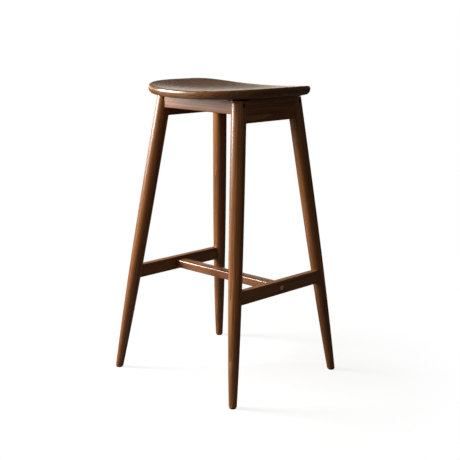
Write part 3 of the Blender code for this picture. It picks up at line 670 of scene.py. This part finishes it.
def build_glide(name, corner, material):
    """A floor glide with rounded edges, moulded round the head of its nail."""
    centre = leg_axis(corner, 0)
    bm = bmesh.new()
    profile = []
    for step in range(GLIDE_EDGE_STEPS + 1):
        angle = math.pi / 2 * step / GLIDE_EDGE_STEPS
        distance = GLIDE_EDGE * (1 - math.sin(angle))
        profile.append((distance, GLIDE_RADIUS - GLIDE_EDGE * (1 - math.cos(angle))))
    profile.reverse()
    profile += [(GLIDE_THICKNESS - distance, radius) for distance, radius in profile[::-1]]
    turned(bm, centre, (0, 0, 1), profile)
    obj = add_object(f"glide_{name}_moulded", bm)
    pocket = bmesh.new()
    shank, head = NAIL_RADIUS + GAP, NAIL_HEAD_RADIUS + GAP
    hollow = [(NAIL_HEAD_Z[0] - GAP, head), (NAIL_HEAD_Z[1] + GAP, head)]
    hollow += [(NAIL_HEAD_Z[1] + GAP, shank), (GLIDE_THICKNESS + OVERRUN, shank)]
    turned(pocket, centre, (0, 0, 1), hollow)
    combine(obj, pocket)
    axes = Matrix.Translation(centre)
    finish_piece(obj, f"glide_{name}", material, axes, HARDWARE_SHARP_DEGREES)


# Materials


class Nodes:
    """Short ways to add and link shader nodes."""

    def __init__(self, name):
        self.material = bpy.data.materials.new(name)
        self.material.use_nodes = True
        self.tree = self.material.node_tree
        self.shader = self.tree.nodes["Principled BSDF"]

    def add(self, kind, inputs=None, **settings):
        node = self.tree.nodes.new(kind)
        for key, value in settings.items():
            setattr(node, key, value)
        for key, value in (inputs or {}).items():
            if isinstance(value, bpy.types.NodeSocket):
                self.tree.links.new(value, node.inputs[key])
            else:
                node.inputs[key].default_value = value
        return node

    def math(self, operation, a, b=0.0, clamp=False):
        return self.add("ShaderNodeMath", {0: a, 1: b}, operation=operation, use_clamp=clamp).outputs[0]

    def place(self, vector, scale, offset=(0, 0, 0)):
        inputs = {"Vector": vector, "Scale": scale, "Location": offset}
        return self.add("ShaderNodeMapping", inputs).outputs[0]

    def noise(self, vector, kind):
        scale, detail, roughness = kind
        inputs = {"Vector": self.place(vector, scale), "Scale": 1.0, "Detail": detail, "Roughness": roughness}
        return self.add("ShaderNodeTexNoise", inputs).outputs["Fac"]

    def ramp(self, value, stops):
        node = self.add("ShaderNodeValToRGB", {"Fac": value})
        points = node.color_ramp.elements
        while len(points) < len(stops):
            points.new(0.5)
        for point, (position, colour) in zip(points, stops):
            point.position = position
            point.color = (*colour, 1.0) if isinstance(colour, tuple) else (colour, colour, colour, 1.0)
        return node.outputs["Color"]

    def blend(self, factor, a, b):
        node = self.tree.nodes.new("ShaderNodeMix")
        node.data_type = "RGBA"
        for socket, value in ((node.inputs[0], factor), (node.inputs[6], a), (node.inputs[7], b)):
            if isinstance(value, bpy.types.NodeSocket):
                self.tree.links.new(value, socket)
            else:
                socket.default_value = value
        return node.outputs[2]

    def set(self, **values):
        for key, value in values.items():
            socket = self.shader.inputs[key.replace("_", " ")]
            if isinstance(value, bpy.types.NodeSocket):
                self.tree.links.new(value, socket)
            else:
                socket.default_value = value


def edge_mask(nodes, radius):
    """1 on convex and concave edges, 0 on open faces."""
    bevel = nodes.add("ShaderNodeBevel", {"Radius": radius}, samples=EDGE_SAMPLES)
    surface = nodes.add("ShaderNodeNewGeometry")
    normals = {0: bevel.outputs[0], 1: surface.outputs["Normal"]}
    dot = nodes.add("ShaderNodeVectorMath", normals, operation="DOT_PRODUCT")
    return nodes.math("MULTIPLY", nodes.math("SUBTRACT", 1.0, dot.outputs["Value"]), EDGE_GAIN, clamp=True)


def wood(
    name,
    tones,
    cut,
    index=0,
    roughness=WOOD_ROUGHNESS,
    board=0.0,
    ring=RING_SPACING,
    turn=(0, 0, 0),
    coat=COAT,
):
    """Lacquered walnut-toned wood. Its grain runs along the piece's own Z, after the turn.

    Pieces of one kind share a cut, and their index sets them apart. A board is the width of one glued strip.
    """
    n = Nodes(name)
    seed, pith = cut[0] + index, cut[1]
    coords = n.add("ShaderNodeTexCoord").outputs["Object"]
    coords = n.add("ShaderNodeMapping", {"Vector": coords, "Rotation": turn}).outputs[0]
    shifted = (pith[0] + seed * SEED_SHIFT[0], pith[1] + seed * SEED_SHIFT[1], seed * SEED_SHIFT[2])
    moved = n.place(coords, (1, 1, 1), shifted)

    sway = n.add("ShaderNodeTexNoise", {"Vector": n.place(moved, SWAY_SCALE), "Scale": 1.0, "Detail": 2.0})
    centred = {0: sway.outputs["Color"], 1: (0.5, 0.5, 0.5)}
    shift = n.add("ShaderNodeVectorMath", centred, operation="SUBTRACT").outputs[0]
    reached = {0: shift, 1: (SWAY_REACH, SWAY_REACH, 0.0)}
    spread = n.add("ShaderNodeVectorMath", reached, operation="MULTIPLY").outputs[0]
    base = n.place(coords, (1, 1, 1), (pith[0], pith[1], seed * SEED_SHIFT[2]))
    warped = n.add("ShaderNodeVectorMath", {0: base, 1: spread}, operation="ADD").outputs[0]
    rings = n.add(
        "ShaderNodeTexWave",
        {
            "Vector": n.place(warped, (1, 1, RING_ALONG)),
            "Scale": 2 * math.pi / (WAVES_PER_UNIT * ring),
            **RING_WAVE,
        },
        wave_type="RINGS",
        rings_direction="Z",
        wave_profile="SAW",
    ).outputs["Fac"]
    fibre = n.noise(moved, FIBRE)
    streak = n.noise(moved, STREAK)
    cloud = n.noise(moved, CLOUD)
    pores = n.ramp(n.noise(moved, PORES), PORE_STOPS)

    tone = n.math("MULTIPLY", rings, RING_SHARE)
    tone = n.math("ADD", tone, n.math("MULTIPLY", fibre, FIBRE_SHARE))
    tone = n.math("ADD", tone, n.math("MULTIPLY", streak, STREAK_SHARE))
    tone = n.math("ADD", tone, n.math("MULTIPLY", cloud, CLOUD_SHARE))
    if board:
        split = n.add("ShaderNodeSeparateXYZ", {0: coords})
        across = n.math("DIVIDE", split.outputs["Y"], board)
        strip = n.math("FLOOR", n.math("ADD", across, 0.5))
        shade = n.add("ShaderNodeTexWhiteNoise", {"W": n.math("ADD", strip, seed)}, noise_dimensions="1D")
        shade = n.math("SUBTRACT", shade.outputs["Value"], 0.5)
        tone = n.math("ADD", tone, n.math("MULTIPLY", shade, BOARD_SHARE))
    colour = n.ramp(tone, list(zip(TONE_STOPS, tones)))
    pore_tone = (*[c * PORE_DARKENING for c in tones[0]], 1.0)
    colour = n.blend(n.math("MULTIPLY", pores, PORE_SHARE), colour, pore_tone)
    wear = n.math("MULTIPLY", edge_mask(n, WEAR_RADIUS), n.ramp(cloud, WEAR_STOPS))
    colour = n.blend(n.math("MULTIPLY", wear, WEAR_SHARE), colour, (*tones[3], 1.0))

    rough = n.math("ADD", n.math("MULTIPLY", fibre, FIBRE_ROUGHNESS), roughness - FIBRE_ROUGHNESS / 2)
    rough = n.math("ADD", rough, n.math("MULTIPLY", pores, PORE_ROUGHNESS))
    rough = n.math("ADD", rough, n.math("MULTIPLY", wear, WEAR_ROUGHNESS))
    height = n.math("MULTIPLY", fibre, FIBRE_HEIGHT)
    height = n.math("SUBTRACT", height, n.math("MULTIPLY", pores, PORE_HEIGHT))
    height = n.math("ADD", height, n.math("MULTIPLY", streak, STREAK_HEIGHT))
    bump = n.add("ShaderNodeBump", {"Height": height, **WOOD_BUMP})
    n.set(Base_Color=colour, Roughness=rough, Normal=bump.outputs[0])
    n.set(Coat_Weight=coat, Coat_Roughness=COAT_ROUGHNESS, IOR=LACQUER_IOR)
    return n.material


def beech():
    """Bare turned beech, with its grain along X."""
    n = Nodes("beech_dowel")
    coords = n.add("ShaderNodeTexCoord").outputs["Object"]
    fibre = n.noise(coords, BEECH_FIBRE)
    fleck = n.ramp(n.noise(coords, BEECH_FLECKS), BEECH_FLECK_STOPS)
    colour = n.ramp(fibre, BEECH_STOPS)
    colour = n.blend(n.math("MULTIPLY", fleck, BEECH_FLECK_SHARE), colour, BEECH_FLECK)
    rough = n.math("ADD", n.math("MULTIPLY", fibre, BEECH_FIBRE_ROUGHNESS), BEECH_ROUGHNESS)
    bump = n.add("ShaderNodeBump", {"Height": fibre, **BEECH_BUMP})
    n.set(Base_Color=colour, Roughness=rough, Normal=bump.outputs[0])
    return n.material


def metal(name, dark, light, roughness, metallic):
    """Plated steel: blotched, finely scratched, and brighter where its edges are worn."""
    n = Nodes(name)
    coords = n.add("ShaderNodeTexCoord").outputs["Object"]
    blotch = n.noise(coords, BLOTCH)
    scratch = n.noise(coords, SCRATCH)
    wear = edge_mask(n, METAL_WEAR_RADIUS)
    colour = n.ramp(blotch, list(zip(BLOTCH_STOPS, (dark, light))))
    worn = (*[min(1.0, c * METAL_WEAR_GAIN) for c in light], 1.0)
    colour = n.blend(n.math("MULTIPLY", wear, METAL_WEAR_SHARE), colour, worn)
    rough = n.math("MULTIPLY", blotch, BLOTCH_ROUGHNESS)
    rough = n.math("ADD", rough, n.math("MULTIPLY", scratch, SCRATCH_ROUGHNESS))
    rough = n.math("ADD", rough, roughness - (BLOTCH_ROUGHNESS + SCRATCH_ROUGHNESS) / 2)
    bump = n.add("ShaderNodeBump", {"Height": scratch, **METAL_BUMP})
    n.set(Base_Color=colour, Roughness=rough, Normal=bump.outputs[0], Metallic=metallic)
    return n.material


def plastic():
    """Matte black moulded plastic, scuffed and paler at its edges."""
    n = Nodes("moulded_black_plastic")
    coords = n.add("ShaderNodeTexCoord").outputs["Object"]
    grit = n.noise(coords, GRIT)
    scuff = n.noise(coords, SCUFF)
    wear = edge_mask(n, PLASTIC_WEAR_RADIUS)
    colour = n.ramp(scuff, PLASTIC_STOPS)
    colour = n.blend(n.math("MULTIPLY", wear, PLASTIC_WEAR_SHARE), colour, PLASTIC_WORN)
    bump = n.add("ShaderNodeBump", {"Height": grit, **PLASTIC_BUMP})
    rough = n.math("ADD", n.math("MULTIPLY", scuff, SCUFF_ROUGHNESS), PLASTIC_ROUGHNESS)
    n.set(Base_Color=colour, Roughness=rough, Normal=bump.outputs[0])
    return n.material


def give(node, material):
    """A CAD node that keeps its shape takes the better material."""
    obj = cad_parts[node]
    obj.data.materials.clear()
    obj.data.materials.append(material)


# Stage


def add_camera():
    """A long lens, a little above the seat, from the stool's front right corner."""
    data = bpy.data.cameras.new("camera")
    data.sensor_width = SENSOR_WIDTH
    data.lens = LENS
    camera = bpy.data.objects.new("camera", data)
    bpy.context.scene.collection.objects.link(camera)
    yaw, pitch, roll = (math.radians(degrees) for degrees in CAMERA_TURN)
    forward = Vector((-math.sin(yaw) * math.cos(pitch), math.cos(yaw) * math.cos(pitch), -math.sin(pitch)))
    level = forward.cross((0, 0, 1)).normalized()
    right = Matrix.Rotation(-roll, 3, forward) @ level
    up = right.cross(forward)
    turn = Matrix((right, up, -forward)).transposed().to_4x4()
    camera.matrix_world = Matrix.Translation(CAMERA_PLACE) @ turn
    bpy.context.scene.camera = camera


def area_light(name, power, size, azimuth, elevation, distance, target, colour, in_reflections):
    """A soft box. Azimuth 0 is in front of the stool, on -Y, and 90 is on +X."""
    data = bpy.data.lights.new(name, "AREA")
    data.shape = "RECTANGLE"
    data.size, data.size_y = size
    data.energy = power
    data.color = colour
    light = bpy.data.objects.new(name, data)
    bpy.context.scene.collection.objects.link(light)
    turn, lift = math.radians(azimuth), math.radians(elevation)
    direction = Vector((math.sin(turn) * math.cos(lift), -math.cos(turn) * math.cos(lift), math.sin(lift)))
    light.location = Vector(target) + direction * distance
    light.rotation_euler = direction.to_track_quat("Z", "Y").to_euler()
    light.visible_glossy = in_reflections


def add_floor():
    """A pale floor that fades to plain white away from the stool. It sends little light back up."""
    bm = bmesh.new()
    bmesh.ops.create_circle(bm, cap_ends=True, segments=FLOOR_SEGMENTS, radius=FLOOR_RADIUS)
    floor = add_object("floor", bm)
    n = Nodes("pale_floor")
    path = n.add("ShaderNodeLightPath")
    coords = n.add("ShaderNodeTexCoord").outputs["Object"]
    seen = n.blend(path.outputs["Is Camera Ray"], FLOOR_BOUNCE, FLOOR_SEEN)
    n.set(Base_Color=seen, Roughness=FLOOR_ROUGHNESS, Specular_IOR_Level=FLOOR_SPECULAR)
    reach = n.add("ShaderNodeVectorMath", {0: coords}, operation="LENGTH").outputs["Value"]
    (near, far), (low, high) = FLOOR_FADE_REACH, FLOOR_FADE_SHARE
    limits = {0: reach, 1: near, 2: far, 3: low, 4: high}
    fade = n.add("ShaderNodeMapRange", limits, interpolation_type="SMOOTHSTEP")
    white = n.add("ShaderNodeEmission", {"Color": WHITE, "Strength": 1.0}).outputs[0]
    share = n.math("MULTIPLY", fade.outputs[0], path.outputs["Is Camera Ray"])
    mix = n.add("ShaderNodeMixShader", {0: share, 1: n.shader.outputs[0], 2: white})
    n.tree.links.new(mix.outputs[0], n.tree.nodes["Material Output"].inputs[0])
    floor.data.materials.append(n.material)


def add_world():
    """Plain white to the camera. Its light is a dim room's, with a glow low down at the back left."""
    world = bpy.data.worlds.new("studio")
    bpy.context.scene.world = world
    world.use_nodes = True
    tree = world.node_tree
    tree.nodes.clear()
    add, link = tree.nodes.new, tree.links.new
    coords = add("ShaderNodeTexCoord")
    toward = add("ShaderNodeVectorMath")
    toward.operation = "DOT_PRODUCT"
    toward.inputs[1].default_value = Vector(GLOW_TOWARD).normalized()
    link(coords.outputs["Generated"], toward.inputs[0])
    split, band, glow = add("ShaderNodeSeparateXYZ"), add("ShaderNodeMapRange"), add("ShaderNodeMath")
    link(coords.outputs["Generated"], split.inputs[0])
    link(split.outputs["Z"], band.inputs["Value"])
    band.interpolation_type = "SMOOTHSTEP"
    band.inputs["From Min"].default_value, band.inputs["From Max"].default_value = GLOW_HEIGHT
    band.inputs["To Min"].default_value = 1.0
    band.inputs["To Max"].default_value = 0.0
    reach = add("ShaderNodeMapRange")
    link(toward.outputs["Value"], reach.inputs["Value"])
    reach.interpolation_type = "SMOOTHSTEP"
    reach.inputs["From Min"].default_value, reach.inputs["From Max"].default_value = GLOW_SPREAD
    glow.operation = "MULTIPLY"
    link(band.outputs[0], glow.inputs[0])
    link(reach.outputs[0], glow.inputs[1])
    ramp = add("ShaderNodeValToRGB")
    ramp.color_ramp.elements[0].color = ROOM_DIM
    ramp.color_ramp.elements[1].color = ROOM_GLOW
    link(glow.outputs[0], ramp.inputs[0])
    room, white = add("ShaderNodeBackground"), add("ShaderNodeBackground")
    link(ramp.outputs[0], room.inputs[0])
    path, mix, out = add("ShaderNodeLightPath"), add("ShaderNodeMixShader"), add("ShaderNodeOutputWorld")
    white.inputs[0].default_value = WHITE
    link(path.outputs["Is Camera Ray"], mix.inputs[0])
    link(room.outputs[0], mix.inputs[1])
    link(white.outputs[0], mix.inputs[2])
    link(mix.outputs[0], out.inputs[0])


def build_wood(black):
    """The wooden pieces, and the glide under each leg."""
    seat_wood = wood(
        "walnut_seat", SEAT_TONES, SEAT_CUT, 0, SEAT_ROUGHNESS, board=SEAT_BOARD, ring=SEAT_RING_SPACING
    )
    build_seat(seat_wood)
    for index, (name, corner) in enumerate(CORNERS.items()):
        walnut = wood(f"walnut_leg_{name}", WALNUT_TONES, LEG_CUT, index, turn=leg_grain(corner))
        build_leg(name, corner, walnut)
        build_glide(name, corner, black)
    for index, (name, side) in enumerate(SIDES.items()):
        build_side_apron(name, side, wood(f"walnut_apron_{name}", WALNUT_TONES, SIDE_APRON_CUT, index))
        build_side_stretcher(name, side, wood(f"walnut_stretcher_{name}", WALNUT_TONES, STRETCHER_CUT, index))
    for index, (name, end) in enumerate(ENDS.items()):
        build_end_apron(name, end, wood(f"walnut_apron_{name}", WALNUT_TONES, END_APRON_CUT, index))
    build_footrest(
        wood("walnut_footrest", WALNUT_TONES, FOOTREST_CUT, 0, FOOTREST_ROUGHNESS, coat=FOOTREST_COAT)
    )


def build_fixings():
    """The bolts, and better materials for the nuts, dowels, screws and nails."""
    bronze = metal("bronzed_steel", BRONZE_DARK, BRONZE_LIGHT, BRONZE_ROUGHNESS, BRONZE_METALLIC)
    zinc = metal("zinc_plated_steel", ZINC_DARK, ZINC_LIGHT, ZINC_ROUGHNESS, ZINC_METALLIC)
    dowel = beech()
    for name in CORNERS:
        build_bolt(f"apron_bolt_{name}", APRON_HEAD_RADIUS, bronze)
        give(f"apron_nut_{name}", zinc)
        give(f"apron_dowel_{name}", dowel)
        give(f"seat_screw_{name}", zinc)
        give(f"glide_nail_{name}", zinc)
    for name in SIDES:
        build_bolt(f"footrest_bolt_{name}", FOOTREST_HEAD_RADIUS, bronze)
        give(f"footrest_nut_{name}", zinc)
        for end in ENDS:
            give(f"footrest_dowel_{name}_{end}", dowel)


def main():
    black = plastic()
    bpy.context.scene.view_settings.view_transform = "Standard"
    build_wood(black)
    build_fixings()
    add_camera()
    add_world()
    add_floor()
    for light in LIGHTS:
        area_light(*light)


main()
